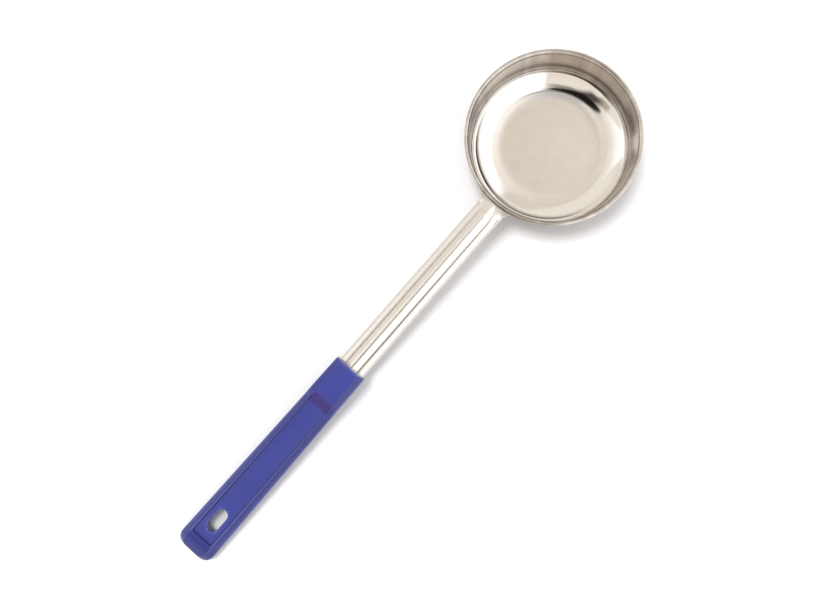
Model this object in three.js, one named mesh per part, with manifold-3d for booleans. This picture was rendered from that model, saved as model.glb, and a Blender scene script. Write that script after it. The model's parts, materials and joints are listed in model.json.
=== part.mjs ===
// Portion spoon: a stamped stainless bowl and ribbed shank in one sheet, with a grip moulded round its tang.
// Millimetres, +Z up. The spoon lies at rest on a table, on the edge of the bowl's base and the grip's end.
// The handle runs along -X, and the origin is on the table, in the middle of the spoon's length.

import * as THREE from "three";
import { mergeVertices } from "three/addons/utils/BufferGeometryUtils.js";
import Module from "manifold-3d";

// Sheet
const sheetThickness = 1;

// Bowl, with heights above the outside of its base and bends on the middle of the sheet
const rimDiameter = 88;
const bowlHeight = 24.4;
const lipWidth = 1.7;
const lipBend = 1.2;
const wallLean = 4.8;
const ledgeHeight = 3.9;
const ledgeWidth = 2;
const ledgeFall = 0.1;
const ledgeBend = 1.2;
const lowerWallLean = 60.5;
const floorBend = 24;

// Shank, from the rim to the front of the grip
const shankLength = 108;
const shankWidth = 15;
const neckFillet = 3.5;
const neckRunOut = 6;
const ribWidth = 6.6;
const ribHeight = 1.6;
const ribTipWidth = 2;
const edgeDrop = 3.2;
const edgeLean = 10;
const edgeBend = 1.5;

// Tang, inside the grip
const tangWidth = 9;
const tangTaper = 7;
const tangShortOfSlot = 10;
const anchorDiameter = 4.6;
const anchorSpacing = 24;
const anchorFromTangEnd = 9;
const clearance = 0.3;

// Grip
const gripLength = 120.5;
const gripFlare = 3.3;
const collarLength = 19.3;
const collarSideWall = 1.2;
const collarCover = 2;
const rampLength = 5.6;
const sideSlope = 3.1;
const sideHeight = 3.2;
const frontChamfer = 0.6;
const topEdgeRound = 0.9;
const sideEdgeRound = 1.4;
const endCorner = 4.8;
const endRound = 6;
const endThickness = 4.4;

// Sunken panels on both faces of the grip
const panelDepth = 1.4;
const panelCover = 2.1;
const panelFrontBorder = 3.6;
const panelEndBorder = 4.2;
const panelToEnd = 9;
const panelDraft = 15;
const panelCorner = 1;

// Hanging slot
const slotLength = 12.9;
const slotWidth = 6;
const slotToEnd = 20;

// Smoothness
const bowlSegments = 60;
const floorBendSteps = 9;
const smallBendSteps = 3;
const ribSteps = 8;
const neckSteps = 7;
const taperSteps = 5;
const endSteps = 6;
const roundSteps = 24;

const rimRadius = rimDiameter / 2;
const halfSheet = sheetThickness / 2;
const sheetLevel = bowlHeight - halfSheet;
const gripFront = rimRadius + shankLength;
const collarHalfWidth = shankWidth / 2 + collarSideWall;
const collarSide = edgeDrop + clearance;
const collarHalfThickness = Math.max(collarSide, ribHeight + halfSheet + clearance) + collarCover;
const panelLevel = halfSheet + clearance + panelCover;
const gripHalfThickness = panelLevel + panelDepth;
const slotCentre = gripFront + gripLength - slotToEnd;
const tangEnd = slotCentre - slotLength / 2 - tangShortOfSlot;

const steel = new THREE.MeshStandardMaterial({ color: 0xd6cec4, roughness: 0.25, metalness: 1 });
const bluePlastic = new THREE.MeshStandardMaterial({ color: 0x4a50a4, roughness: 0.4, metalness: 0 });

const wasm = await Module();
wasm.setup();

function tangentOf(degrees) {
  return Math.tan(THREE.MathUtils.degToRad(degrees));
}

// The arc that rounds one corner of an outline
function roundedCorner(before, corner, after, radius, steps) {
  const back = before.clone().sub(corner).normalize();
  const ahead = after.clone().sub(corner).normalize();
  const halfAngle = Math.acos(THREE.MathUtils.clamp(back.dot(ahead), -1, 1)) / 2;
  const centre = back.clone().add(ahead).normalize().multiplyScalar(radius / Math.sin(halfAngle)).add(corner);
  const reach = radius / Math.tan(halfAngle);
  const from = back.multiplyScalar(reach).add(corner).sub(centre).angle();
  const to = ahead.multiplyScalar(reach).add(corner).sub(centre).angle();
  const turn = THREE.MathUtils.euclideanModulo(to - from + Math.PI, 2 * Math.PI) - Math.PI;
  return new THREE.ArcCurve(centre.x, centre.y, radius, from, from + turn, turn < 0).getPoints(steps);
}

// A line of straight runs joined by bends
function bentLine(start, bends, end) {
  const corners = [start, ...bends.map((bend) => bend.at), end];
  const rounded = bends.flatMap((bend, i) => {
    return roundedCorner(corners[i], bend.at, corners[i + 2], bend.radius, bend.steps);
  });
  return [start, ...rounded, end];
}

// A closed outline with every corner rounded
function roundedLoop(corners, radii) {
  const count = corners.length;
  return corners.flatMap((corner, i) => {
    const before = corners[(i + count - 1) % count];
    const after = corners[(i + 1) % count];
    return roundedCorner(before, corner, after, radii[i % radii.length], smallBendSteps);
  });
}

// The line moved sideways by the same distance everywhere, to its left where the distance is positive
function offsetLine(line, distance) {
  return line.map((point, i) => {
    const before = point.clone().sub(line[Math.max(i - 1, 0)]).normalize();
    const after = line[Math.min(i + 1, line.length - 1)].clone().sub(point).normalize();
    const along = before.add(after).normalize();
    const last = i === 0 ? after : point.clone().sub(line[i - 1]).normalize();
    const mitre = distance / along.dot(last);
    return new THREE.Vector2(point.x - along.y * mitre, point.y + along.x * mitre);
  });
}

// Closed skin through loops with equal numbers of points, with a flat cap at each end
function loft(loops, capPlane) {
  const count = loops[0].length;
  const positions = loops.flat().flatMap((point) => [point.x, point.y, point.z]);
  const triangles = [];
  for (let ring = 0; ring < loops.length - 1; ring += 1) {
    for (let i = 0; i < count; i += 1) {
      const here = ring * count + i;
      const next = ring * count + ((i + 1) % count);
      triangles.push(here, next, next + count);
      triangles.push(here, next + count, here + count);
    }
  }
  const lastRing = (loops.length - 1) * count;
  const firstCap = THREE.ShapeUtils.triangulateShape(loops[0].map(capPlane), []);
  firstCap.forEach(([a, b, c]) => triangles.push(a, c, b));
  const lastCap = THREE.ShapeUtils.triangulateShape(loops[loops.length - 1].map(capPlane), []);
  lastCap.forEach(([a, b, c]) => triangles.push(lastRing + a, lastRing + b, lastRing + c));
  const geometry = new THREE.BufferGeometry();
  geometry.setAttribute("position", new THREE.Float32BufferAttribute(positions, 3));
  geometry.setIndex(triangles);
  return geometry;
}

function toSolid(geometry) {
  geometry.deleteAttribute("normal");
  geometry.deleteAttribute("uv");
  const merged = mergeVertices(geometry);
  const triangles = [];
  for (let i = 0; i < merged.index.count; i += 3) {
    const [a, b, c] = merged.index.array.slice(i, i + 3);
    if (a !== b && b !== c && c !== a) {
      triangles.push(a, b, c);
    }
  }
  const vertProperties = new Float32Array(merged.attributes.position.array);
  const triVerts = new Uint32Array(triangles);
  return new wasm.Manifold(new wasm.Mesh({ numProp: 3, vertProperties, triVerts }));
}

function toGeometry(solid) {
  const { vertProperties, triVerts } = solid.getMesh();
  const geometry = new THREE.BufferGeometry();
  geometry.setAttribute("position", new THREE.BufferAttribute(vertProperties, 3));
  geometry.setIndex(new THREE.BufferAttribute(triVerts, 1));
  geometry.computeVertexNormals();
  return geometry;
}

function uprightCylinder(radius, height, x, z) {
  const cylinder = new THREE.CylinderGeometry(radius, radius, height, roundSteps);
  cylinder.rotateX(Math.PI / 2);
  cylinder.translate(x, 0, z);
  return toSolid(cylinder);
}

// Middle of the sheet, from the bowl's axis over the floor, lower wall, ledge and upper wall to the lip
function bowlLine() {
  const lipCorner = new THREE.Vector2(rimRadius - lipWidth, sheetLevel);
  const wallRun = (sheetLevel - ledgeHeight) * tangentOf(wallLean);
  const ledgeOuter = new THREE.Vector2(lipCorner.x - wallRun, ledgeHeight);
  const ledgeInner = new THREE.Vector2(ledgeOuter.x - ledgeWidth, ledgeHeight - ledgeFall);
  const lowerRun = (ledgeInner.y - halfSheet) * tangentOf(lowerWallLean);
  const floorCorner = new THREE.Vector2(ledgeInner.x - lowerRun, halfSheet);
  const bends = [
    { at: floorCorner, radius: floorBend, steps: floorBendSteps },
    { at: ledgeInner, radius: ledgeBend, steps: smallBendSteps },
    { at: ledgeOuter, radius: ledgeBend, steps: smallBendSteps },
    { at: lipCorner, radius: lipBend, steps: smallBendSteps },
  ];
  const lipEnd = new THREE.Vector2(rimRadius - halfSheet, sheetLevel);
  return bentLine(new THREE.Vector2(0, halfSheet), bends, lipEnd);
}

function bowl() {
  const line = bowlLine();
  const outside = offsetLine(line, -halfSheet);
  const inside = offsetLine(line, halfSheet).reverse();
  const edge = new THREE.ArcCurve(rimRadius - halfSheet, sheetLevel, halfSheet, -Math.PI / 2, Math.PI / 2);
  const roundedEdge = edge.getPoints(smallBendSteps).slice(1, -1);
  const profile = [...outside, ...roundedEdge, ...inside].map((point) => {
    return new THREE.Vector2(Math.max(point.x, 0), point.y);
  });
  // Turned by half a segment, so that the tipped bowl rests on a side of its base edge and not on a corner
  const turned = new THREE.LatheGeometry(profile, bowlSegments, Math.PI / bowlSegments);
  turned.rotateX(Math.PI / 2);
  return toSolid(turned);
}

// Cross-section of the strip as a closed outline: a raised rib between flat flanks with turned-down edges
function stripSection(halfWidth, ribShare, edgeShare, gap) {
  const ribHalf = THREE.MathUtils.lerp(ribTipWidth, ribWidth, ribShare) / 2;
  const rib = [];
  for (let i = 0; i < ribSteps; i += 1) {
    const across = (2 * i) / ribSteps - 1;
    rib.push(new THREE.Vector2(ribHalf * across, ribHeight * ribShare * (1 - across * across)));
  }
  const foot = new THREE.Vector2(ribHalf, 0);
  const tip = new THREE.Vector2(halfWidth - halfSheet, -edgeDrop);
  const shoulder = new THREE.Vector2(tip.x - edgeDrop * tangentOf(edgeLean), 0);
  const bend = { at: shoulder, radius: edgeBend, steps: smallBendSteps };
  const right = bentLine(foot, [bend], tip).map((point) => new THREE.Vector2(point.x, point.y * edgeShare));
  const left = right.slice(1).reverse().map((point) => new THREE.Vector2(-point.x, point.y));
  const line = [...left, ...rib, ...right];
  if (gap > 0) {
    const rightEnd = right[right.length - 1].clone().sub(right[right.length - 2]).setLength(gap);
    line[0].add(new THREE.Vector2(-rightEnd.x, rightEnd.y));
    line[line.length - 1].add(rightEnd);
  }
  const lower = offsetLine(line, -halfSheet - gap);
  const upper = offsetLine(line, halfSheet + gap).reverse();
  return [...lower, ...upper];
}

// The strip from the rim to the end of the tang, grown all round by the gap
function strip(gap) {
  const filletCentre = new THREE.Vector2(0, shankWidth / 2 + neckFillet);
  filletCentre.x = Math.sqrt((rimRadius + neckFillet) ** 2 - filletCentre.y ** 2);
  const neckStart = (filletCentre.x * rimRadius) / (rimRadius + neckFillet);
  const neckEnd = rimRadius + neckRunOut;
  const taperEnd = gripFront + collarLength;
  const stations = [];
  for (let i = 0; i <= neckSteps; i += 1) {
    const along = THREE.MathUtils.lerp(neckStart, neckEnd, i / neckSteps);
    const inFillet = Math.max(filletCentre.x - along, 0);
    const flare = neckFillet - Math.sqrt(neckFillet ** 2 - inFillet ** 2);
    const formed = THREE.MathUtils.smoothstep(along, rimRadius, neckEnd);
    stations.push({ along, halfWidth: shankWidth / 2 + flare, ribShare: formed, edgeShare: formed });
  }
  for (let i = 0; i <= taperSteps; i += 1) {
    const along = taperEnd - tangTaper * (1 - i / taperSteps);
    const formed = 1 - THREE.MathUtils.smoothstep(along, taperEnd - tangTaper, taperEnd);
    const halfWidth = THREE.MathUtils.lerp(tangWidth / 2, shankWidth / 2, formed);
    stations.push({ along, halfWidth, ribShare: formed, edgeShare: formed });
  }
  stations.push({ along: tangEnd + gap, halfWidth: tangWidth / 2, ribShare: 0, edgeShare: 0 });
  const loops = stations.map((station) => {
    const section = stripSection(station.halfWidth, station.ribShare, station.edgeShare, gap);
    return section.map((point) => new THREE.Vector3(-station.along, point.x, sheetLevel + point.y));
  });
  return toSolid(loft(loops.reverse(), (point) => new THREE.Vector2(point.y, point.z)));
}

function anchorPlaces() {
  const last = -(tangEnd - anchorFromTangEnd);
  return [last, last + anchorSpacing];
}

function bowlAndShank() {
  let body = bowl().add(strip(0));
  for (const x of anchorPlaces()) {
    body = body.subtract(uprightCylinder(anchorDiameter / 2, 4 * sheetThickness, x, sheetLevel));
  }
  return toGeometry(body);
}

function gripHalfWidth(fromFront) {
  return collarHalfWidth + ((gripFlare / 2) * fromFront) / gripLength;
}

// Cross-section of the grip: flat top and bottom, sloped shoulders and a low upright side
function gripSection(fromFront, halfWidth, halfThickness, side) {
  const top = halfWidth - sideSlope;
  const corners = [
    new THREE.Vector2(top, -halfThickness),
    new THREE.Vector2(halfWidth, -side),
    new THREE.Vector2(halfWidth, side),
    new THREE.Vector2(top, halfThickness),
    new THREE.Vector2(-top, halfThickness),
    new THREE.Vector2(-halfWidth, side),
    new THREE.Vector2(-halfWidth, -side),
    new THREE.Vector2(-top, -halfThickness),
  ];
  const loop = roundedLoop(corners, [topEdgeRound, sideEdgeRound, sideEdgeRound, topEdgeRound]);
  return loop.map((point) => new THREE.Vector3(-(gripFront + fromFront), point.x, sheetLevel + point.y));
}

function gripBody() {
  const frontWidth = gripHalfWidth(0) - frontChamfer;
  const frontSide = collarSide - frontChamfer;
  const collarBack = gripHalfWidth(collarLength);
  const rampEnd = collarLength + rampLength;
  const sections = [
    gripSection(0, frontWidth, collarHalfThickness - frontChamfer, frontSide),
    gripSection(frontChamfer, gripHalfWidth(frontChamfer), collarHalfThickness, collarSide),
    gripSection(collarLength, collarBack, collarHalfThickness, collarSide),
    gripSection(rampEnd, gripHalfWidth(rampEnd), gripHalfThickness, sideHeight / 2),
  ];
  for (let i = 0; i <= endSteps; i += 1) {
    const turn = ((i / endSteps) * Math.PI) / 2;
    const fromFront = gripLength - endRound * (1 - Math.sin(turn));
    const past = Math.max(fromFront - (gripLength - endCorner), 0);
    const corner = endCorner - Math.sqrt(Math.max(endCorner ** 2 - past ** 2, 0));
    const thinner = (gripHalfThickness - endThickness / 2) * (1 - Math.cos(turn));
    const halfThickness = gripHalfThickness - thinner;
    sections.push(gripSection(fromFront, gripHalfWidth(fromFront) - corner, halfThickness, sideHeight / 2));
  }
  return toSolid(loft(sections.reverse(), (point) => new THREE.Vector2(point.y, point.z)));
}

// What is cut away above the panel's floor: drafted walls, and the ramp at the front
function panelCut() {
  const frontAt = collarLength + rampLength;
  const endAt = gripLength - panelToEnd;
  const frontHalf = gripHalfWidth(frontAt) - panelFrontBorder;
  const endHalf = gripHalfWidth(endAt) - panelEndBorder;
  const rise = collarHalfThickness - panelLevel + collarCover;
  const rampRun = (rampLength / (collarHalfThickness - panelLevel)) * rise;
  const spread = rise * tangentOf(panelDraft);
  const outline = (front, end, grow, level) => {
    const corners = [
      new THREE.Vector2(-(gripFront + end), -endHalf - grow),
      new THREE.Vector2(-(gripFront + front), -frontHalf - grow),
      new THREE.Vector2(-(gripFront + front), frontHalf + grow),
      new THREE.Vector2(-(gripFront + end), endHalf + grow),
    ];
    return roundedLoop(corners, [panelCorner]).map((point) => new THREE.Vector3(point.x, point.y, level));
  };
  const floor = outline(frontAt, endAt, 0, panelLevel);
  const mouth = outline(frontAt - rampRun, endAt + spread, spread, panelLevel + rise);
  return loft([floor, mouth], (point) => new THREE.Vector2(point.x, point.y));
}

function slotCut() {
  const straight = slotLength - slotWidth;
  const outline = new THREE.Shape();
  outline.absarc(straight / 2, 0, slotWidth / 2, -Math.PI / 2, Math.PI / 2);
  outline.absarc(-straight / 2, 0, slotWidth / 2, Math.PI / 2, (3 * Math.PI) / 2);
  const depth = 4 * gripHalfThickness;
  const curveSegments = roundSteps / 2;
  const cut = new THREE.ExtrudeGeometry(outline, { depth, bevelEnabled: false, curveSegments });
  cut.translate(-slotCentre, 0, sheetLevel - depth / 2);
  return toSolid(cut);
}

// The hollow that the tang lies in, with pegs left standing through the tang's anchor holes
function tangHollow() {
  const pegRadius = anchorDiameter / 2 - clearance;
  let hollow = strip(clearance);
  for (const x of anchorPlaces()) {
    hollow = hollow.subtract(uprightCylinder(pegRadius, 4 * sheetThickness, x, sheetLevel));
  }
  return hollow;
}

function grip() {
  const upperPanel = panelCut();
  const lowerPanel = upperPanel.clone().rotateX(Math.PI);
  upperPanel.translate(0, 0, sheetLevel);
  lowerPanel.translate(0, 0, sheetLevel);
  const cuts = [toSolid(upperPanel), toSolid(lowerPanel), slotCut(), tangHollow()];
  return toGeometry(cuts.reduce((body, cut) => body.subtract(cut), gripBody()));
}

// The point that is lowest once the handle is tipped down by the angle
function lowestPoint(geometry, angle) {
  const place = geometry.attributes.position;
  let lowest = null;
  let least = Infinity;
  for (let i = 0; i < place.count; i += 1) {
    const height = place.getX(i) * Math.sin(angle) + place.getZ(i) * Math.cos(angle);
    if (height < least) {
      least = height;
      lowest = new THREE.Vector3().fromBufferAttribute(place, i);
    }
  }
  return lowest;
}

// The tip at which the bowl and the grip both touch the table
function restAngle(bowlGeometry, gripGeometry) {
  let angle = 0;
  for (let pass = 0; pass < 20; pass += 1) {
    const underBowl = lowestPoint(bowlGeometry, angle);
    const underGrip = lowestPoint(gripGeometry, angle);
    angle = Math.atan2(underGrip.z - underBowl.z, underBowl.x - underGrip.x);
  }
  return angle;
}

const bowlAndShankMesh = new THREE.Mesh(bowlAndShank(), steel);
bowlAndShankMesh.name = "bowl_and_shank";

const gripMesh = new THREE.Mesh(grip(), bluePlastic);
gripMesh.name = "grip";

const portionSpoon = new THREE.Group();
portionSpoon.add(bowlAndShankMesh, gripMesh);
portionSpoon.rotation.y = -restAngle(bowlAndShankMesh.geometry, gripMesh.geometry);

const extent = new THREE.Box3().setFromObject(portionSpoon, true);
const middle = extent.getCenter(new THREE.Vector3());
portionSpoon.position.set(-middle.x, -middle.y, -extent.min.z);

export default portionSpoon;
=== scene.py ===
import json
import math

import bmesh
import bpy
import numpy as np
from mathutils import Matrix, Vector


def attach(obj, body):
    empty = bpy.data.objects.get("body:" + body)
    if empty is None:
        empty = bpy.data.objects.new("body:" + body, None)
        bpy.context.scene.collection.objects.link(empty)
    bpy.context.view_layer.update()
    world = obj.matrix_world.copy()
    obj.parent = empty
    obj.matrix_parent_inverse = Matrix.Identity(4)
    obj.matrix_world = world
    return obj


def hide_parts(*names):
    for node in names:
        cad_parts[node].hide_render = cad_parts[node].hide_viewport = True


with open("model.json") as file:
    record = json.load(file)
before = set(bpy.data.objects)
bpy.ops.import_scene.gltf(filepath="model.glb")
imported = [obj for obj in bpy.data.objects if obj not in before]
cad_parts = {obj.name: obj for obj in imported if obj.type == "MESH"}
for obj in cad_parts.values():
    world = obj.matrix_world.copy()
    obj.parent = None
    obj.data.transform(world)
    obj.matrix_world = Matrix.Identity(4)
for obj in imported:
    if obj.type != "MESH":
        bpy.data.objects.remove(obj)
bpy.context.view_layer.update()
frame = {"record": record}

# both pieces are drawn in mm, with the bowl's axis at x = y = 0 and the handle along -x,
# and then set down tipped, as the CAD lies
bowlBase = next(mount for mount in frame["record"]["mounts"] if mount["name"] == "bowl_base")
down = Vector(bowlBase["axis"])
tip = math.atan2(down.x, -down.z)
metresPerMm = 0.001
tipped = Matrix.Rotation(-tip, 4, "Y")
setDown = Matrix.Translation(bowlBase["pos_m"]) @ tipped @ Matrix.Scale(metresPerMm, 4)


# sRGB hex to linear
def linear(hexColour):
    parts = [int(hexColour[i:i + 2], 16) / 255 for i in (1, 3, 5)]
    return [p / 12.92 if p <= 0.04045 else ((p + 0.055) / 1.055) ** 2.4 for p in parts] + [1]


# sockets go by name or number; a Mix takes floats at 2 and 3, vectors at 4 and 5, colours at 6 and 7,
# and gives them at 0, 1 and 2
def addNode(tree, kind, sockets=None, **settings):
    node = tree.nodes.new(kind)
    for name, value in settings.items():
        setattr(node, name, value)
    for key, value in (sockets or {}).items():
        if isinstance(value, bpy.types.NodeSocket):
            tree.links.new(value, node.inputs[key])
        else:
            node.inputs[key].default_value = value
    return node


def newMaterial(name):
    material = bpy.data.materials.new(name)
    material.use_nodes = True
    tree = material.node_tree
    return material, tree, tree.nodes["Principled BSDF"]


# each zone says where it starts and where it is full, in mm from the bowl's axis
steelFinish = {
    "floorZone": (28.2, 23.6), "wallFoot": (38.4, 40), "wallTop": (44.8, 43.8),
    "shankZone": (43.5, 45.5), "neckZone": (45, 52), "creaseZone": (47, 54),
    # the crease sizes place a thin line of painted shade beside the rib
    "crease": 3.3, "creaseFade": (0.3, 0.1), "creaseShadeShare": 0.5,   # mm from the middle of the shank
    "patchScale": 0.35, "stainScale": 0.14, "streakScale": 7,   # patches of 3 mm, stains of 7, streaks of 6
    "patchDetail": 6, "stainDetail": 8, "stainGrit": 0.7, "streakDetail": 5,
    "streakRange": (0.3, 0.7), "streakShare": (0.33, 0.74),
    "mirrorRough": (0.04, 0.09), "floorRough": 0.28, "wallRough": 0.14, "neckRough": (0.28, 0.18),
    "smear": 0.8, "smearTurn": 0.25,
    "mirror": ("#DBD6D0", "#D1CCC6"), "worn": ("#C3B9AE", "#D6CDC3"),
    # the streak colour gives faint streaks and, over the rest of the wall, painted shade
    "streakAndShade": "#8F857B", "creaseShade": "#7A6F64",
}


# drawn stainless: a warm grey mirror below the ledge, dull satin on the floor, a wall streaked by the draw
# and darkened by painted shade, and painted shade in the shank's creases
def drawnStainless(finish):
    material, tree, shader = newMaterial("drawn stainless, polished")
    place = addNode(tree, "ShaderNodeAttribute", attribute_name="spoonPlace").outputs["Vector"]   # mm
    flat = addNode(tree, "ShaderNodeVectorMath", {0: place, 1: (1, 1, 0)}, operation="MULTIPLY").outputs[0]
    radius = addNode(tree, "ShaderNodeVectorMath", {0: flat}, operation="LENGTH").outputs["Value"]
    zones = {}
    for name in ("floorZone", "wallFoot", "wallTop", "shankZone", "creaseZone"):
        start, full = finish[name]
        fade = "SMOOTHSTEP" if name == "floorZone" else "LINEAR"
        zones[name] = addNode(tree, "ShaderNodeMapRange", {
            "Value": radius, "From Min": start, "From Max": full}, interpolation_type=fade).outputs[0]
    onFloor, onShank = zones["floorZone"], zones["shankZone"]
    onWall = addNode(tree, "ShaderNodeMath", {
        0: zones["wallFoot"], 1: zones["wallTop"]}, operation="MULTIPLY").outputs[0]

    # roughness: uneven small patches everywhere, a satin floor, and a slightly dull wall, neck and shank
    patches = addNode(tree, "ShaderNodeTexNoise", {
        "Vector": place, "Scale": finish["patchScale"], "Detail": finish["patchDetail"]}).outputs[0]
    low, high = finish["mirrorRough"]
    rough = addNode(tree, "ShaderNodeMapRange", {"Value": patches, "To Min": low, "To Max": high}).outputs[0]
    start, end = finish["neckZone"]
    neckRough, shankRough = finish["neckRough"]
    shankDull = addNode(tree, "ShaderNodeMapRange", {
        "Value": radius, "From Min": start, "From Max": end,
        "To Min": neckRough, "To Max": shankRough}).outputs[0]
    for zone, dull in ((onFloor, finish["floorRough"]), (onWall, finish["wallRough"]), (onShank, shankDull)):
        rough = addNode(tree, "ShaderNodeMath", {
            0: zone, 1: dull, 2: rough}, operation="MULTIPLY_ADD").outputs[0]

    # polishing marks run round the wall and smear what it mirrors up and down
    sideways = addNode(tree, "ShaderNodeVectorMath", {
        0: flat, 1: (0, 0, 1)}, operation="CROSS_PRODUCT").outputs[0]
    tangent = addNode(tree, "ShaderNodeVectorRotate", {
        "Vector": sideways, "Angle": -tip}, rotation_type="Y_AXIS").outputs[0]
    smear = addNode(tree, "ShaderNodeMath", {0: onWall, 1: finish["smear"]}, operation="MULTIPLY").outputs[0]

    # the draw leaves faint streaks 1 to 6 mm wide; the same darker colour also lies over the whole wall as
    # painted shade
    outward = addNode(tree, "ShaderNodeVectorMath", {0: flat}, operation="NORMALIZE").outputs[0]
    streaks = addNode(tree, "ShaderNodeTexNoise", {
        "Vector": outward, "Scale": finish["streakScale"], "Detail": finish["streakDetail"]}).outputs[0]
    thin, thick = finish["streakRange"]
    least, most = finish["streakShare"]
    faint = addNode(tree, "ShaderNodeMapRange", {
        "Value": streaks, "From Min": thin, "From Max": thick, "To Min": least, "To Max": most}).outputs[0]
    onStreaksAndShade = addNode(tree, "ShaderNodeMath", {0: onWall, 1: faint}, operation="MULTIPLY").outputs[0]

    # painted shade: a thin brown line darkens the creases beside the rib
    aside = addNode(tree, "ShaderNodeSeparateXYZ", {0: place}).outputs[1]
    toMiddle = addNode(tree, "ShaderNodeMath", {0: aside}, operation="ABSOLUTE").outputs[0]
    pastCrease = addNode(tree, "ShaderNodeMath", {
        0: toMiddle, 1: finish["crease"]}, operation="SUBTRACT").outputs[0]
    offCrease = addNode(tree, "ShaderNodeMath", {0: pastCrease}, operation="ABSOLUTE").outputs[0]
    start, full = finish["creaseFade"]
    inCrease = addNode(tree, "ShaderNodeMapRange", {
        "Value": offCrease, "From Min": start, "From Max": full, "To Max": finish["creaseShadeShare"]}).outputs[0]
    onCreaseShade = addNode(tree, "ShaderNodeMath", {
        0: inCrease, 1: zones["creaseZone"]}, operation="MULTIPLY").outputs[0]

    # colours, each laid over the one before
    stains = addNode(tree, "ShaderNodeTexNoise", {
        "Vector": place, "Scale": finish["stainScale"], "Detail": finish["stainDetail"],
        "Roughness": finish["stainGrit"]}).outputs[0]
    mottled = {}
    for name, share in (("mirror", patches), ("worn", stains)):
        first, second = finish[name]
        mottled[name] = addNode(tree, "ShaderNodeMix", {
            "Factor": share, 6: linear(first), 7: linear(second)}, data_type="RGBA").outputs[2]
    tint = mottled["mirror"]
    # the paste colour is painted shade in the creases
    for share, over in ((onStreaksAndShade, linear(finish["streakAndShade"])), (onFloor, mottled["worn"]),
                        (onCreaseShade, linear(finish["creaseShade"]))):
        tint = addNode(tree, "ShaderNodeMix", {
            "Factor": share, 6: tint, 7: over}, data_type="RGBA").outputs[2]
    for socket, source in (("Roughness", rough), ("Base Color", tint),
                           ("Anisotropic", smear), ("Tangent", tangent)):
        tree.links.new(source, shader.inputs[socket])
    shader.inputs["Metallic"].default_value = 1
    shader.inputs["Anisotropic Rotation"].default_value = finish["smearTurn"]
    return material


# zones along the handle are in mm from the bowl's axis, zones across it in mm from its middle
plasticFinish = {
    "rampStart": (171, 171.8), "rampEnd": (177.4, 176.4), "end": (262, 265),
    "panel": (6.2, 5.2), "railEdge": (9, 7.8),
    "ridge": (0.505, 0.535), "groove": (0.495, 0.46),   # pointiness, 0.5 where flat
    "railShadeShare": 0.6, "flowScale": 0.09, "flowDetail": 3,   # flow marks of 11 mm
    "grainScale": 1.6, "grainDetail": 2, "grainStrength": 0.25, "grainDepth": 0.00006,
    "roughness": 0.22, "ior": 1.49,
    # the ridge tint is a painted highlight on the edges, the groove tint painted shade in the corners
    "body": ("#2C3170", "#34397B"), "ridgeHighlight": "#5B62AC", "grooveShade": "#1C1A4A",
    # the rail and ramp tints are painted shade on the rails, the end and the ramp
    "railShade": "#1D2258", "rampShade": "#22165E",
}


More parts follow.
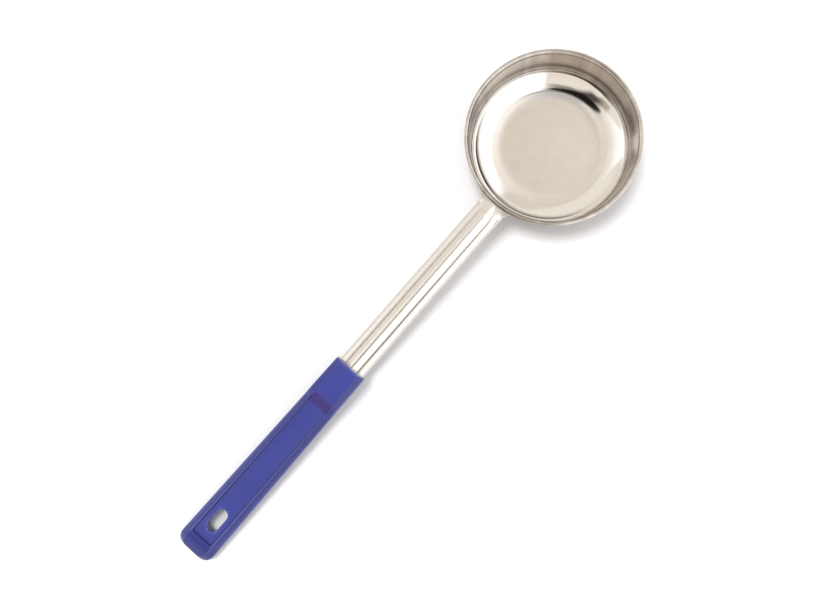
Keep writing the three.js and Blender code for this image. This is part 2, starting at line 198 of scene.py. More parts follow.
# moulded plastic: satin deep blue, with a spark-eroded grain that breaks up its highlights;
# the real grain is about 0.1 mm and is drawn 0.6 mm wide so that it shows
def mouldedPlastic(finish):
    material, tree, shader = newMaterial("moulded blue plastic, satin")
    place = addNode(tree, "ShaderNodeAttribute", attribute_name="spoonPlace").outputs["Vector"]   # mm
    size = addNode(tree, "ShaderNodeVectorMath", {0: place}, operation="ABSOLUTE").outputs[0]
    along, aside = addNode(tree, "ShaderNodeSeparateXYZ", {0: size}).outputs[:2]
    bent = addNode(tree, "ShaderNodeNewGeometry").outputs["Pointiness"]
    zones = {}
    for name, source in (("ridge", bent), ("groove", bent), ("rampStart", along), ("rampEnd", along),
                         ("end", along), ("panel", aside), ("railEdge", aside)):
        start, full = finish[name]
        zones[name] = addNode(tree, "ShaderNodeMapRange", {
            "Value": source, "From Min": start, "From Max": full}).outputs[0]
    # the ramp takes painted shade, a little purple
    rampLength = addNode(tree, "ShaderNodeMath", {
        0: zones["rampStart"], 1: zones["rampEnd"]}, operation="MULTIPLY").outputs[0]
    onRamp = addNode(tree, "ShaderNodeMath", {
        0: rampLength, 1: zones["panel"]}, operation="MULTIPLY").outputs[0]
    besidePanel = addNode(tree, "ShaderNodeMath", {0: 1, 1: zones["panel"]}, operation="SUBTRACT").outputs[0]
    onRails = addNode(tree, "ShaderNodeMath", {
        0: besidePanel, 1: zones["railEdge"]}, operation="MULTIPLY").outputs[0]
    # rails and end take painted shade
    railsAndEnd = addNode(tree, "ShaderNodeMath", {0: onRails, 1: zones["end"]}, operation="MAXIMUM").outputs[0]
    onRailShade = addNode(tree, "ShaderNodeMath", {
        0: railsAndEnd, 1: finish["railShadeShare"]}, operation="MULTIPLY").outputs[0]

    # painted light: the rounded edges are tinted lighter as a painted highlight and the corners darker as
    # painted shade;
    # the rails and end are tinted deeper, and the ramp deeper and a little purple, both as painted shade
    flow = addNode(tree, "ShaderNodeTexNoise", {
        "Vector": place, "Scale": finish["flowScale"], "Detail": finish["flowDetail"]}).outputs[0]
    first, second = finish["body"]
    tint = addNode(tree, "ShaderNodeMix", {
        "Factor": flow, 6: linear(first), 7: linear(second)}, data_type="RGBA").outputs[2]
    for share, name in ((zones["ridge"], "ridgeHighlight"), (zones["groove"], "grooveShade"),
                        (onRailShade, "railShade"), (onRamp, "rampShade")):
        tint = addNode(tree, "ShaderNodeMix", {
            "Factor": share, 6: tint, 7: linear(finish[name])}, data_type="RGBA").outputs[2]
    grain = addNode(tree, "ShaderNodeTexNoise", {
        "Vector": place, "Scale": finish["grainScale"], "Detail": finish["grainDetail"]}).outputs[0]
    bump = addNode(tree, "ShaderNodeBump", {
        "Height": grain, "Strength": finish["grainStrength"], "Distance": finish["grainDepth"]}).outputs[0]
    for socket, source in (("Base Color", tint), ("Normal", bump)):
        tree.links.new(source, shader.inputs[socket])
    shader.inputs["Roughness"].default_value = finish["roughness"]
    shader.inputs["IOR"].default_value = finish["ior"]
    return material


steel = drawnStainless(steelFinish)
plastic = mouldedPlastic(plasticFinish)
print("materials made")


# a mesh in mm becomes a piece in the frame, smooth apart from its sharp edges
def finishMesh(name, mesh, sharpAngle):
    mesh.transform(setDown)
    mesh.polygons.foreach_set("use_smooth", [True] * len(mesh.polygons))
    mesh.set_sharp_from_angle(angle=math.radians(sharpAngle))
    mesh.name = name
    piece = bpy.data.objects.new(name, mesh)
    bpy.context.collection.objects.link(piece)
    return piece


# the object as its modifiers leave it, as a plain mesh
def plainMesh(source):
    graph = bpy.context.evaluated_depsgraph_get()
    mesh = bpy.data.meshes.new_from_object(source.evaluated_get(graph))
    used = source.data
    bpy.data.objects.remove(source)
    bpy.data.meshes.remove(used)
    return mesh


# bowl and shank, one stamping; leans and the dish are in degrees
steelSizes = {
    "rim": 44.0, "sheet": 1.0, "lipLevel": 23.9, "lipWidth": 1.7, "lipBend": 1.0, "lipFall": 0.25,
    "wallLean": 4.8, "ledgeHeight": 3.9, "ledgeWidth": 2.0, "ledgeFall": 0.1, "ledgeBend": 1.0,
    "lowerLean": 57.7, "lowerBend": 18.5, "floor": 24.0, "floorDish": 3.0, "floorBend": 60.0,
    "shankHalf": 7.5, "shankEnd": 163.0, "neckFillet": 5.0, "neckRunOut": 9.0, "neckEnd": 53.0,
    "ribHalf": 3.3, "ribCorner": 1.6, "ribBend": 3.2, "footBend": 0.7,
    "flankFlat": 1.0, "flankFall": 0.5, "flankBend": 2.0, "edgeDrop": 3.2, "edgeLean": 4.0, "edgeBend": 1.5,
    "acrossSteps": 72, "acrossCrowd": 1.6, "roundSteps": 216, "floorRings": 14, "wallRings": 126,
    "floorShare": 0.40, "neckRows": 30, "neckCrowd": 1.4, "shankRows": 12, "bendSteps": 12,
    "edgeRound": 0.28, "edgeSegments": 2, "edgeAngle": 50, "sharpAngle": 40,
}


# the flat sheet before pressing: a disc with a tongue, which share the rim's points at the neck
def flatBlank(sizes):
    rim = sizes["rim"]
    filletY = sizes["shankHalf"] + sizes["neckFillet"]
    filletX = math.sqrt((rim + sizes["neckFillet"]) ** 2 - filletY ** 2)
    neckX = filletX * rim / (rim + sizes["neckFillet"])
    neckHalf = filletY * rim / (rim + sizes["neckFillet"])
    across = np.linspace(-1, 1, sizes["acrossSteps"] + 1)
    # lines crowd in where the rib runs out
    spread = np.sign(across) * np.abs(across) ** sizes["acrossCrowd"]
    neckAngles = np.arcsin(spread * neckHalf / rim)
    restAngles = np.linspace(neckAngles[-1], 2 * math.pi + neckAngles[0], sizes["roundSteps"] + 1)[1:-1]
    angles = np.concatenate([neckAngles, restAngles])
    rings = np.concatenate([
        np.linspace(0, sizes["floorShare"], sizes["floorRings"] + 1)[1:],
        np.linspace(sizes["floorShare"], 1, sizes["wallRings"] + 1)[1:]])
    points = [(0, 0, 0)]
    for ring in rings:
        points += [(-rim * ring * math.cos(a), rim * ring * math.sin(a), 0) for a in angles]
    count = len(angles)
    faces = [(0, 1 + (i + 1) % count, 1 + i) for i in range(count)]
    for ring in range(len(rings) - 1):
        start = 1 + ring * count
        for i in range(count):
            j = (i + 1) % count
            faces.append((start + i, start + j, start + count + j, start + count + i))
    lastRow = [1 + (len(rings) - 1) * count + i for i in range(len(across))]
    acrossOf = [0.0] * len(points)
    onShank = [False] * len(points)
    # rows of the tongue: up to 1 over the neck, from 1 to 2 along the shank
    rows = [(i / sizes["neckRows"]) ** sizes["neckCrowd"] for i in range(1, sizes["neckRows"] + 1)]
    rows += [1 + i / sizes["shankRows"] for i in range(1, sizes["shankRows"] + 1)]
    for row in rows:
        share = min(row, 1)
        beyond = (sizes["shankEnd"] - sizes["neckEnd"]) * max(row - 1, 0)
        edgeX = neckX + (sizes["neckEnd"] - neckX) * share
        inside = max(filletX - edgeX, 0)
        half = filletY - math.sqrt(sizes["neckFillet"] ** 2 - inside ** 2)
        thisRow = []
        for v, s in zip(across, spread):
            rimX = math.sqrt(rim ** 2 - (s * neckHalf) ** 2)
            x = rimX + (sizes["neckEnd"] - rimX) * share + beyond
            thisRow.append(len(points))
            points.append((-x, s * half, 0))
            acrossOf.append(v)
            onShank.append(True)
        for i in range(len(across) - 1):
            faces.append((lastRow[i], lastRow[i + 1], thisRow[i + 1], thisRow[i]))
        lastRow = thisRow
    mesh = bpy.data.meshes.new("blank")
    mesh.from_pydata(points, [], faces)
    mesh.attributes.new("across", "FLOAT", "POINT").data.foreach_set("value", acrossOf)
    mesh.attributes.new("onShank", "BOOLEAN", "POINT").data.foreach_set("value", onShank)
    return mesh


# corner points of the bowl's outline and of the shank's section, both at mid sheet
def pressCorners(sizes):
    lip = sizes["rim"] - sizes["lipWidth"]
    outer = lip - (sizes["lipLevel"] - sizes["ledgeHeight"]) * math.tan(math.radians(sizes["wallLean"]))
    inner = outer - sizes["ledgeWidth"]
    innerZ = sizes["ledgeHeight"] - sizes["ledgeFall"]
    floorZ = sizes["sheet"] / 2
    dish = math.tan(math.radians(sizes["floorDish"]))
    steep = 1 / math.tan(math.radians(sizes["lowerLean"]))
    foot = (inner * steep - innerZ + floorZ - sizes["floor"] * dish) / (steep - dish)
    corners = {
        "Floor Middle": (0, 0, floorZ), "Floor Edge": (sizes["floor"], 0, floorZ),
        "Wall Foot": (foot, 0, floorZ + (foot - sizes["floor"]) * dish), "Ledge Inner": (inner, 0, innerZ),
        "Ledge Outer": (outer, 0, sizes["ledgeHeight"]), "Lip Corner": (lip, 0, sizes["lipLevel"]),
        "Lip End": (sizes["rim"], 0, sizes["lipLevel"] - sizes["lipFall"]),
        "Rib Corner": (0, 0, sizes["ribCorner"]),
    }
    tipY = sizes["shankHalf"] - sizes["sheet"] / 2
    shoulder = tipY - sizes["edgeDrop"] * math.tan(math.radians(sizes["edgeLean"]))
    for side, sign in (("Left", -1), ("Right", 1)):
        corners[side + " Tip"] = (0, sign * tipY, -sizes["edgeDrop"])
        corners[side + " Shoulder"] = (0, sign * shoulder, -sizes["flankFall"])
        corners[side + " Flank"] = (0, sign * (sizes["ribHalf"] + sizes["flankFlat"]), 0)
        corners[side + " Foot"] = (0, sign * sizes["ribHalf"], 0)
    return corners


# a bent line through corner inputs, each rounded by its own bend input
def bentLine(tree, given, corners, steps):
    index = addNode(tree, "GeometryNodeInputIndex").outputs[0]
    places = addNode(tree, "GeometryNodeIndexSwitch", {0: index}, data_type="VECTOR")
    radii = addNode(tree, "GeometryNodeIndexSwitch", {0: index}, data_type="FLOAT")
    while len(places.index_switch_items) < len(corners):
        places.index_switch_items.new()
        radii.index_switch_items.new()
    for i, (corner, bend) in enumerate(corners):
        tree.links.new(given[corner], places.inputs[i + 1])
        if bend:
            tree.links.new(given[bend], radii.inputs[i + 1])
    line = addNode(tree, "GeometryNodeMeshLine", {"Count": len(corners)})
    bent = addNode(tree, "GeometryNodeSetPosition", {
        "Geometry": line.outputs[0], "Position": places.outputs[0]})
    curve = addNode(tree, "GeometryNodeMeshToCurve", {"Mesh": bent.outputs[0]})
    rounded = addNode(tree, "GeometryNodeFilletCurve", {
        "Curve": curve.outputs[0], "Count": steps, "Radius": radii.outputs[0],
        "Limit Radius": True}, mode="POLY")
    return rounded.outputs[0]


# presses the blank into shape; every corner and length is an input of the tree
def pressTree(corners, lengths, bendSteps):
    tree = bpy.data.node_groups.new("sheet press", "GeometryNodeTree")
    face = tree.interface
    face.new_socket("Blank", in_out="INPUT", socket_type="NodeSocketGeometry")
    for name in corners:
        face.new_socket(name, in_out="INPUT", socket_type="NodeSocketVector")
    for name in lengths:
        face.new_socket(name, in_out="INPUT", socket_type="NodeSocketFloat")
    face.new_socket("Material", in_out="INPUT", socket_type="NodeSocketMaterial")
    face.new_socket("Sheet", in_out="OUTPUT", socket_type="NodeSocketGeometry")
    given = addNode(tree, "NodeGroupInput").outputs
    result = addNode(tree, "NodeGroupOutput")

    outline = bentLine(tree, given, (
        ("Floor Middle", None), ("Floor Edge", "Floor Bend"), ("Wall Foot", "Foot Bend"),
        ("Ledge Inner", "Ledge Bend"), ("Ledge Outer", "Ledge Bend"), ("Lip Corner", "Lip Bend"),
        ("Lip End", None)), bendSteps)
    section = bentLine(tree, given, (
        ("Left Tip", None), ("Left Shoulder", "Edge Bend"), ("Left Flank", "Flank Bend"),
        ("Left Foot", "Rib Foot Bend"), ("Rib Corner", "Rib Bend"), ("Right Foot", "Rib Foot Bend"),
        ("Right Flank", "Flank Bend"), ("Right Shoulder", "Edge Bend"), ("Right Tip", None)), bendSteps)

    # bowl: distance from the middle of the blank becomes distance along the outline
    place = addNode(tree, "GeometryNodeInputPosition").outputs[0]
    radius = addNode(tree, "ShaderNodeVectorMath", {0: place}, operation="LENGTH").outputs["Value"]
    share = addNode(tree, "ShaderNodeMath", {
        0: radius, 1: given["Rim Radius"]}, operation="DIVIDE").outputs[0]
    along = addNode(tree, "GeometryNodeSampleCurve", {
        "Curves": outline, "Factor": share}, mode="FACTOR", use_all_curves=True).outputs["Position"]
    alongParts = addNode(tree, "ShaderNodeSeparateXYZ", {0: along}).outputs
    outward = addNode(tree, "ShaderNodeVectorMath", {0: place}, operation="NORMALIZE").outputs[0]
    reach = addNode(tree, "ShaderNodeVectorMath", {
        0: outward, "Scale": alongParts[0]}, operation="SCALE").outputs[0]
    rise = addNode(tree, "ShaderNodeCombineXYZ", {2: alongParts[2]}).outputs[0]
    bowl = addNode(tree, "ShaderNodeVectorMath", {0: reach, 1: rise}, operation="ADD").outputs[0]

    # shank: the flat tongue turns into the ribbed section over the run-out at the neck
    across = addNode(tree, "GeometryNodeInputNamedAttribute", {
        "Name": "across"}, data_type="FLOAT").outputs[0]
    half = addNode(tree, "ShaderNodeMapRange", {"Value": across, "From Min": -1, "From Max": 1}).outputs[0]
    formed = addNode(tree, "GeometryNodeSampleCurve", {
        "Curves": section, "Factor": half}, mode="FACTOR", use_all_curves=True).outputs["Position"]
    parts = addNode(tree, "ShaderNodeSeparateXYZ", {0: place}).outputs
    lengthOnly = addNode(tree, "ShaderNodeCombineXYZ", {0: parts[0]}).outputs[0]
    full = addNode(tree, "ShaderNodeVectorMath", {0: formed, 1: lengthOnly}, operation="ADD").outputs[0]
    fromAxis = addNode(tree, "ShaderNodeMath", {0: parts[0], 1: -1}, operation="MULTIPLY").outputs[0]
    runOutEnd = addNode(tree, "ShaderNodeMath", {
        0: given["Rim Radius"], 1: given["Neck Run-out"]}, operation="ADD").outputs[0]
    pressed = addNode(tree, "ShaderNodeMapRange", {
        "Value": fromAxis, "From Min": given["Rim Radius"], "From Max": runOutEnd},
        interpolation_type="SMOOTHSTEP").outputs[0]
    tongue = addNode(tree, "ShaderNodeMix", {
        "Factor": pressed, 4: place, 5: full}, data_type="VECTOR").outputs[1]
    lipEndZ = addNode(tree, "ShaderNodeSeparateXYZ", {0: given["Lip End"]}).outputs[2]
    lipZ = addNode(tree, "ShaderNodeSeparateXYZ", {0: given["Lip Corner"]}).outputs[2]
    level = addNode(tree, "ShaderNodeMix", {"Factor": pressed, 2: lipEndZ, 3: lipZ}).outputs[0]
    lift = addNode(tree, "ShaderNodeCombineXYZ", {2: level}).outputs[0]
    shank = addNode(tree, "ShaderNodeVectorMath", {0: tongue, 1: lift}, operation="ADD").outputs[0]

    onShank = addNode(tree, "GeometryNodeInputNamedAttribute", {
        "Name": "onShank"}, data_type="BOOLEAN").outputs[0]
    final = addNode(tree, "GeometryNodeSwitch", {
        "Switch": onShank, "False": bowl, "True": shank}, input_type="VECTOR")
    sheet = addNode(tree, "GeometryNodeSetPosition", {
        "Geometry": given["Blank"], "Position": final.outputs[0]})
    now = addNode(tree, "GeometryNodeInputPosition").outputs[0]
    kept = addNode(tree, "GeometryNodeStoreNamedAttribute", {
        "Geometry": sheet.outputs[0], "Name": "spoonPlace", "Value": now},
        data_type="FLOAT_VECTOR", domain="POINT")
    real = addNode(tree, "GeometryNodeRealizeInstances", {"Geometry": kept.outputs[0]})
    painted = addNode(tree, "GeometryNodeSetMaterial", {
        "Geometry": real.outputs[0], "Material": given["Material"]})
    tree.links.new(painted.outputs[0], result.inputs["Sheet"])
    return tree


def makeStamping(sizes):
    blank = bpy.data.objects.new("blank", flatBlank(sizes))
    bpy.context.collection.objects.link(blank)
    corners = pressCorners(sizes)
    lengths = {
        "Rim Radius": sizes["rim"], "Neck Run-out": sizes["neckRunOut"],
        "Floor Bend": sizes["floorBend"], "Foot Bend": sizes["lowerBend"],
        "Ledge Bend": sizes["ledgeBend"], "Lip Bend": sizes["lipBend"], "Edge Bend": sizes["edgeBend"],
        "Flank Bend": sizes["flankBend"], "Rib Foot Bend": sizes["footBend"], "Rib Bend": sizes["ribBend"],
    }
    tree = pressTree(corners, lengths, sizes["bendSteps"])
    press = blank.modifiers.new("press", "NODES")
    press.node_group = tree
    values = {**corners, **lengths, "Material": steel}
    for item in tree.interface.items_tree:
        if item.in_out == "INPUT" and item.name in values:
            press[item.identifier] = values[item.name]
    sheet = blank.modifiers.new("sheet", "SOLIDIFY")
    sheet.thickness = sizes["sheet"]
    sheet.offset = 0
    sheet.use_even_offset = True
    edge = blank.modifiers.new("edge", "BEVEL")
    edge.width = sizes["edgeRound"]
    edge.segments = sizes["edgeSegments"]
    edge.limit_method = "ANGLE"
    edge.angle_limit = math.radians(sizes["edgeAngle"])
    return finishMesh("bowl_and_shank_look", plainMesh(blank), sizes["sharpAngle"])


stamping = makeStamping(steelSizes)
print("stamping:", len(stamping.data.polygons), "faces", [round(v, 4) for v in stamping.dimensions])

# grip, one moulding; heights are from its middle, and the section's corners have a reach on each side
gripSizes = {
    "front": 152.0, "length": 120.5, "middle": 23.9, "frontHalf": 8.7, "endHalf": 10.35,
    "collarLength": 19.3, "collarTop": 5.5, "collarSide": 3.5, "ramp": 5.6,
    "top": 4.3, "side": 1.6, "sideMost": 0.75, "slope": 3.1, "frontRound": 0.7, "edgeNarrow": 0.6,
    "endCorner": 4.8, "endRound": 6.0, "endTop": 2.2, "endEdge": 1.0,
    "panel": 2.9, "panelFrontBorder": 3.6, "panelEndBorder": 4.2, "panelToEnd": 9.0, "panelWall": 0.38,
    "panelCorner": 1.0, "railLeast": 0.1, "soft": 0.35, "softSamples": 9,
    "reaches": ((0.4, 0.4), (0.4, 0.05), (0.05, 0.6), (1.0, 1.0)), "reachMost": 0.48, "cornerSteps": 5,
    "bendNear": 1.0, "panelNear": 1.2, "sharpAngle": 35,
    "frontSteps": 8, "runSteps": (7, 16, 8, 16, 23, 44, 3), "endSteps": 48,   # sections from front to end
    "slotLength": 12.9, "slotWidth": 6.0, "slotToEnd": 20.0, "slotEdge": 0.45, "slotEdgeSteps": 6,
    "slotSteps": 24, "slotOver": 1.0,
}


# a height that follows straight runs between stations, eased at each bend
def eased(at, stations, heights, sizes):
    nearby = at + np.linspace(-sizes["soft"], sizes["soft"], sizes["softSamples"])
    return float(np.mean(np.interp(nearby, stations, heights)))


# corners of a line rounded by short curves, always with the same number of points
def softLine(corners, sizes):
    points = [Vector(corners[0])]
    steps = sizes["cornerSteps"]
    for i, (reachBack, reachAhead) in enumerate(sizes["reaches"], 1):
        corner = Vector(corners[i])
        back = Vector(corners[i - 1]) - corner
        ahead = Vector(corners[i + 1]) - corner
        start = corner + back.normalized() * min(reachBack, back.length * sizes["reachMost"])
        end = corner + ahead.normalized() * min(reachAhead, ahead.length * sizes["reachMost"])
        for k in range(steps + 1):
            t = k / steps
            points.append(start * (1 - t) ** 2 + corner * 2 * t * (1 - t) + end * t ** 2)
    return points + [Vector(corners[-1])]


# how far an edge of this radius has drawn in at a distance past its start
def roundedBy(radius, past):
    return radius - math.sqrt(max(radius ** 2 - max(past, 0) ** 2, 0))


# the grip's closed section at a distance from its front
def gripRow(at, sizes):
    length = sizes["length"]
    rampEnd = sizes["collarLength"] + sizes["ramp"]
    panelEnd = length - sizes["panelToEnd"]
    half = sizes["frontHalf"] + (sizes["endHalf"] - sizes["frontHalf"]) * at / length
    run = [0, sizes["collarLength"], rampEnd, length]
    top = eased(at, run, [sizes["collarTop"], sizes["collarTop"], sizes["top"], sizes["top"]], sizes)
    side = eased(at, run, [sizes["collarSide"], sizes["collarSide"], sizes["side"], sizes["side"]], sizes)
    panelRun = [0, sizes["collarLength"], rampEnd, panelEnd, panelEnd + sizes["panelWall"], length]
    floor = eased(at, panelRun, [sizes["collarTop"], sizes["collarTop"], sizes["panel"], sizes["panel"],
                                 sizes["top"], sizes["top"]], sizes)
    border = float(np.interp(at, [rampEnd, panelEnd], [sizes["panelFrontBorder"], sizes["panelEndBorder"]]))
    # the end is thinner and rounded in plan, and both ends have a rounded edge
    turn = min(max((at - (length - sizes["endRound"])) / sizes["endRound"], 0), 1)
    thin = (sizes["top"] - sizes["endTop"]) * (1 - math.sqrt(1 - turn ** 2))
    narrow = roundedBy(sizes["endCorner"], at - (length - sizes["endCorner"]))
    edge = roundedBy(sizes["endEdge"], at - (length - sizes["endEdge"]))
    edge += roundedBy(sizes["frontRound"], sizes["frontRound"] - at)
    half -= narrow + edge * sizes["edgeNarrow"]
    top -= thin + edge
    side = min(side, top * sizes["sideMost"])
    floor = min(floor, top)
    topHalf = half - sizes["slope"]
    panelHalf = half - border
    if at < panelEnd:
        panelHalf -= roundedBy(sizes["panelCorner"], at - (panelEnd - sizes["panelCorner"]))
    panelHalf = min(panelHalf, topHalf - sizes["panelWall"] - sizes["railLeast"])
    corners = [(0, floor), (panelHalf, floor), (panelHalf + sizes["panelWall"], top), (topHalf, top),
               (half, side), (half, 0)]
    quarter = softLine(corners, sizes)
    upper = quarter + [Vector((p.x, -p.y)) for p in reversed(quarter[:-1])]
    loop = upper + [Vector((-p.x, p.y)) for p in reversed(upper[1:-1])]
    return [(-(sizes["front"] + at), p.x, sizes["middle"] + p.y) for p in loop]


# distances of the sections from the grip's front, closer together at bends
def gripStations(sizes):
    length = sizes["length"]
    rampStart = sizes["collarLength"]
    rampEnd = rampStart + sizes["ramp"]
    panelEnd = length - sizes["panelToEnd"]
    near = sizes["bendNear"]
    frontTurn = np.linspace(0, math.pi / 2, sizes["frontSteps"] + 1)
    endTurn = np.linspace(0, math.pi / 2, sizes["endSteps"] + 1)
    stations = [sizes["frontRound"] * (1 - np.cos(frontTurn))]
    last = sizes["frontRound"]
    stops = (rampStart - near, rampStart + near, rampEnd - near, rampEnd + near,
             panelEnd - sizes["panelNear"], panelEnd + near, length - sizes["endRound"])
    for stop, steps in zip(stops, sizes["runSteps"]):
        stations.append(np.linspace(last, stop, steps + 1)[1:])
        last = stop
    stations.append(length - sizes["endRound"] * (1 - np.sin(endTurn[1:])))
    return np.concatenate(stations)


# the hanging slot's outlines from top to bottom, opened out at both faces to give it a rounded edge
def slotRows(sizes):
    straight = (sizes["slotLength"] - sizes["slotWidth"]) / 2
    centre = sizes["front"] + sizes["length"] - sizes["slotToEnd"]
    edge, top = sizes["slotEdge"], sizes["panel"]
    turns = np.linspace(0, math.pi / 2, sizes["slotEdgeSteps"] + 1)
    upper = [(edge, top + sizes["slotOver"])]
    upper += [(edge * (1 - math.sin(t)), top - edge * (1 - math.cos(t))) for t in turns]
    rows = []
    for grow, z in upper + [(grow, -z) for grow, z in reversed(upper)]:
        half = sizes["slotWidth"] / 2 + grow
        row = []
        for k in range(2 * sizes["slotSteps"]):
            angle = math.pi * (k + 0.5) / sizes["slotSteps"]
            shift = straight if math.cos(angle) > 0 else -straight
            x = -centre + shift + half * math.cos(angle)
            row.append((x, half * math.sin(angle), sizes["middle"] + z))
        rows.append(row)
    return rows


# a closed skin over rows of points
def skinMesh(name, rows):
    build = bmesh.new()
    loops = [[build.verts.new(p) for p in row] for row in rows]
    for a, b in zip(loops, loops[1:]):
        for k in range(len(a)):
            j = (k + 1) % len(a)
            build.faces.new((a[k], a[j], b[j], b[k]))
    build.faces.new(loops[0])
    build.faces.new(loops[-1])
    bmesh.ops.recalc_face_normals(build, faces=build.faces)
    mesh = bpy.data.meshes.new(name)
    build.to_mesh(mesh)
    build.free()
    return mesh


def makeGrip(sizes):
    mesh = skinMesh("grip", [gripRow(at, sizes) for at in gripStations(sizes)])
    mesh.materials.append(plastic)
    body = bpy.data.objects.new("grip body", mesh)
    cutter = bpy.data.objects.new("slot cutter", skinMesh("slot cutter", slotRows(sizes)))
    bpy.context.collection.objects.link(body)
    bpy.context.collection.objects.link(cutter)
    cut = body.modifiers.new("slot", "BOOLEAN")
    cut.object = cutter
    cut.solver = "EXACT"
    done = plainMesh(body)
    used = cutter.data
    bpy.data.objects.remove(cutter)
    bpy.data.meshes.remove(used)
    places = np.empty(3 * len(done.vertices), dtype=np.float32)
    done.vertices.foreach_get("co", places)
    done.attributes.new("spoonPlace", "FLOAT_VECTOR", "POINT").data.foreach_set("vector", places)
    return finishMesh("grip_look", done, sizes["sharpAngle"])


grip = makeGrip(gripSizes)
print("grip:", len(grip.data.polygons), "faces", [round(v, 4) for v in grip.dimensions])

for piece, node, slot in ((stamping, "bowl_and_shank", "stainless_steel"), (grip, "grip", "blue_plastic")):
    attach(piece, "root")
    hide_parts(node)


# pale floor, in metres
tablePlan = {
    "half": 4, "fibreScale": 400, "fibreDetail": 4, "tints": ("#CDCDCF", "#D3D3D5"), "roughness": 0.9,
}


# matt paper: an even white; real fibres are far finer, and are drawn 2.5 mm long so that they show
def makeFloor(plan):
    half = plan["half"]
    mesh = bpy.data.meshes.new("floor")
    corners = [(-half, -half, 0), (half, -half, 0), (half, half, 0), (-half, half, 0)]
    mesh.from_pydata(corners, [], [(0, 1, 2, 3)])
    material, tree, shader = newMaterial("white table paper, matt")
    place = addNode(tree, "ShaderNodeTexCoord").outputs["Object"]
    fibres = addNode(tree, "ShaderNodeTexNoise", {
        "Vector": place, "Scale": plan["fibreScale"], "Detail": plan["fibreDetail"]}).outputs[0]
    first, second = plan["tints"]
    tint = addNode(tree, "ShaderNodeMix", {
        "Factor": fibres, 6: linear(first), 7: linear(second)}, data_type="RGBA").outputs[2]
    tree.links.new(tint, shader.inputs["Base Color"])
    shader.inputs["Roughness"].default_value = plan["roughness"]
    mesh.materials.append(material)
    floor = bpy.data.objects.new("floor", mesh)
    bpy.context.collection.objects.link(floor)


# the light is a cream dome over a pale backdrop; heights above the floor are in degrees
studio = {
    "turn": -48.6, "dome": ("#FEFBF3", 1.2), "horizon": ("#FFE9D8", 0.14), "horizonTop": (22, 36),
    "backdrop": ("#FFFBF7", 0.95), "backdropTop": (13, 8), "leastRise": 0.02,
}

# panels on the dome, each over the one before; places and half sizes in ceiling heights, turns in degrees
domePanels = [
    # warm panels, one overhead and one low at the lower left
    {"at": (0.26, 0.52), "half": (0.5, 0.16), "turn": 62, "light": ("#FFF7EE", 1.02), "soft": 0.3},
    {"at": (-1.6, -3.2), "half": (3.0, 2.4), "turn": 0, "light": ("#FFF4EA", 1.2), "soft": 0.1},
    # two greys and two darks, which the bowl mirrors as the dark crescent above its floor
    {"at": (-0.05, -0.2), "half": (0.09, 0.11), "turn": 0, "light": ("#FFF6EA", 0.55), "soft": 0.4},
    {"at": (-0.66, -0.36), "half": (0.28, 0.11), "turn": 28.5, "light": ("#FFF6EA", 0.65), "soft": 0.25},
    {"at": (-0.343, -0.276), "half": (0.29, 0.1), "turn": 38, "light": ("#FFE8E0", 0.12), "soft": 0.5},
    {"at": (-0.078, -0.0425), "half": (0.2, 0.092), "turn": 31, "light": ("#FFE8E0", 0.015), "soft": 0.06},
    # white panels at the right
    {"at": (2.2, -2.7), "half": (1.2, 1.7), "turn": 0, "light": ("#FFFFFF", 1.5), "soft": 0.35},
    {"at": (1.052, -0.737), "half": (0.95, 0.85), "turn": 3.8, "light": ("#FFFFFF", 1.8), "soft": 0.02},
    {"at": (0.961, 0.384), "half": (0.8, 0.5), "turn": 47.9, "light": ("#FFFFFF", 1.8), "soft": 0.1},
    # far ends: dark at the right, pale and white at the left
    {"at": (2.83, 0.758), "half": (1.6, 1.0), "turn": 15, "light": ("#FFE9D8", 0.1), "soft": 0.2},
    {"at": (-2.3, 2.3), "half": (1.9, 1.0), "turn": 135, "light": ("#FFF8F0", 1.1), "soft": 0.3},
    {"at": (-2.7, 0.57), "half": (2.1, 0.27), "turn": -11.3, "light": ("#FFFFFF", 1.8), "soft": 0.18},
]


def glowOf(hexColour, level):
    return [part * level for part in linear(hexColour)[:3]] + [1]


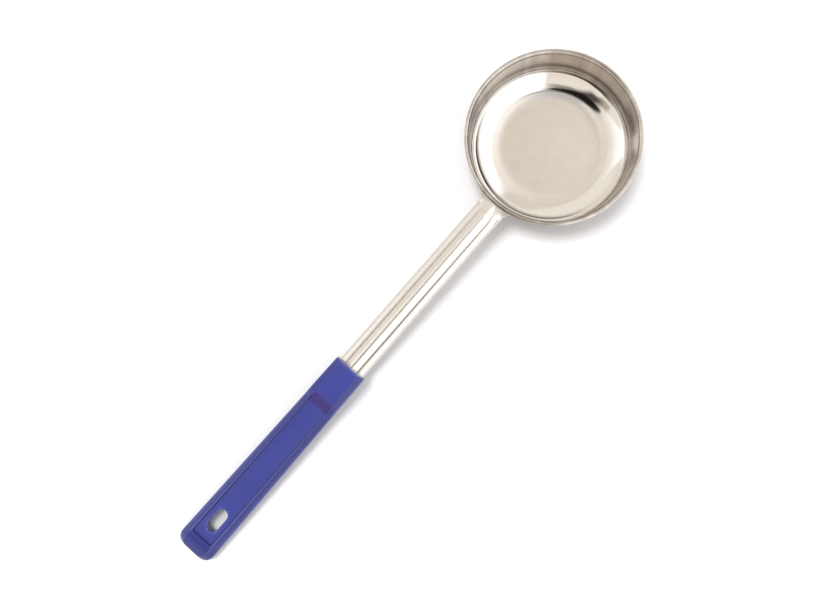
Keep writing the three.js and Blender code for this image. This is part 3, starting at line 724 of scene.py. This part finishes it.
def makeDome(plan, panels):
    world = bpy.data.worlds.new("studio dome")
    bpy.context.scene.world = world
    world.use_nodes = True
    tree = world.node_tree
    background = tree.nodes["Background"]
    facing = addNode(tree, "ShaderNodeTexCoord").outputs["Generated"]
    turned = addNode(tree, "ShaderNodeVectorRotate", {
        "Vector": facing, "Angle": -math.radians(plan["turn"])}, rotation_type="Z_AXIS").outputs[0]
    rise = addNode(tree, "ShaderNodeSeparateXYZ", {0: turned}).outputs[2]
    # horizon, then the dome above it and the backdrop below
    glow = glowOf(*plan["horizon"])
    for name, heights in (("dome", plan["horizonTop"]), ("backdrop", plan["backdropTop"])):
        start, full = [math.sin(math.radians(height)) for height in heights]
        share = addNode(tree, "ShaderNodeMapRange", {
            "Value": rise, "From Min": start, "From Max": full}).outputs[0]
        glow = addNode(tree, "ShaderNodeMix", {
            "Factor": share, 6: glow, 7: glowOf(*plan[name])}, data_type="RGBA").outputs[2]
    # where a line of sight meets a ceiling one unit up
    safeRise = addNode(tree, "ShaderNodeMath", {
        0: rise, 1: plan["leastRise"]}, operation="MAXIMUM").outputs[0]
    perRise = addNode(tree, "ShaderNodeMath", {0: 1, 1: safeRise}, operation="DIVIDE").outputs[0]
    ceiling = addNode(tree, "ShaderNodeVectorMath", {
        0: turned, "Scale": perRise}, operation="SCALE").outputs[0]
    for panel in panels:
        inPanel = addNode(tree, "ShaderNodeMapping", {
            "Vector": ceiling, "Location": (*panel["at"], 0), "Rotation": (0, 0, math.radians(panel["turn"])),
            "Scale": (*panel["half"], 1)}, vector_type="TEXTURE").outputs[0]
        size = addNode(tree, "ShaderNodeVectorMath", {0: inPanel}, operation="ABSOLUTE").outputs[0]
        parts = addNode(tree, "ShaderNodeSeparateXYZ", {0: size}).outputs
        edge = addNode(tree, "ShaderNodeMath", {0: parts[0], 1: parts[1]}, operation="MAXIMUM").outputs[0]
        share = addNode(tree, "ShaderNodeMapRange", {
            "Value": edge, "From Min": 1 + panel["soft"], "From Max": 1 - panel["soft"]}).outputs[0]
        glow = addNode(tree, "ShaderNodeMix", {
            "Factor": share, 6: glow, 7: glowOf(*panel["light"])}, data_type="RGBA").outputs[2]
    tree.links.new(glow, background.inputs["Color"])


# the sun gives the soft shadow and isn't mirrored; turn from +x, height and angle are in degrees
sunPlan = {"turn": 102, "height": 75, "strength": 2.6, "angle": 20}


def makeSun(plan):
    light = bpy.data.lights.new("sun", "SUN")
    light.energy = plan["strength"]
    light.angle = math.radians(plan["angle"])
    turn, height = math.radians(plan["turn"]), math.radians(plan["height"])
    level = math.cos(height)
    toSun = Vector((level * math.cos(turn), level * math.sin(turn), math.sin(height)))
    sun = bpy.data.objects.new("sun", light)
    sun.rotation_euler = (-toSun).to_track_quat("-Z", "Y").to_euler()
    sun.visible_glossy = False
    bpy.context.collection.objects.link(sun)


cameraView = {
    "lens": 35, "place": (-0.01817, -0.03075, 0.41765), "turn": (5.626, 0.449, -48.61), "clipStart": 0.01,
}


def makeCamera(view):
    data = bpy.data.cameras.new("camera")
    data.lens = view["lens"]
    data.clip_start = view["clipStart"]
    camera = bpy.data.objects.new("camera", data)
    camera.location = view["place"]
    camera.rotation_euler = [math.radians(a) for a in view["turn"]]
    bpy.context.collection.objects.link(camera)
    bpy.context.scene.camera = camera


makeFloor(tablePlan)
makeDome(studio, domePanels)
makeSun(sunPlan)
bpy.context.scene.view_settings.view_transform = "Standard"
makeCamera(cameraView)
print("stage set")
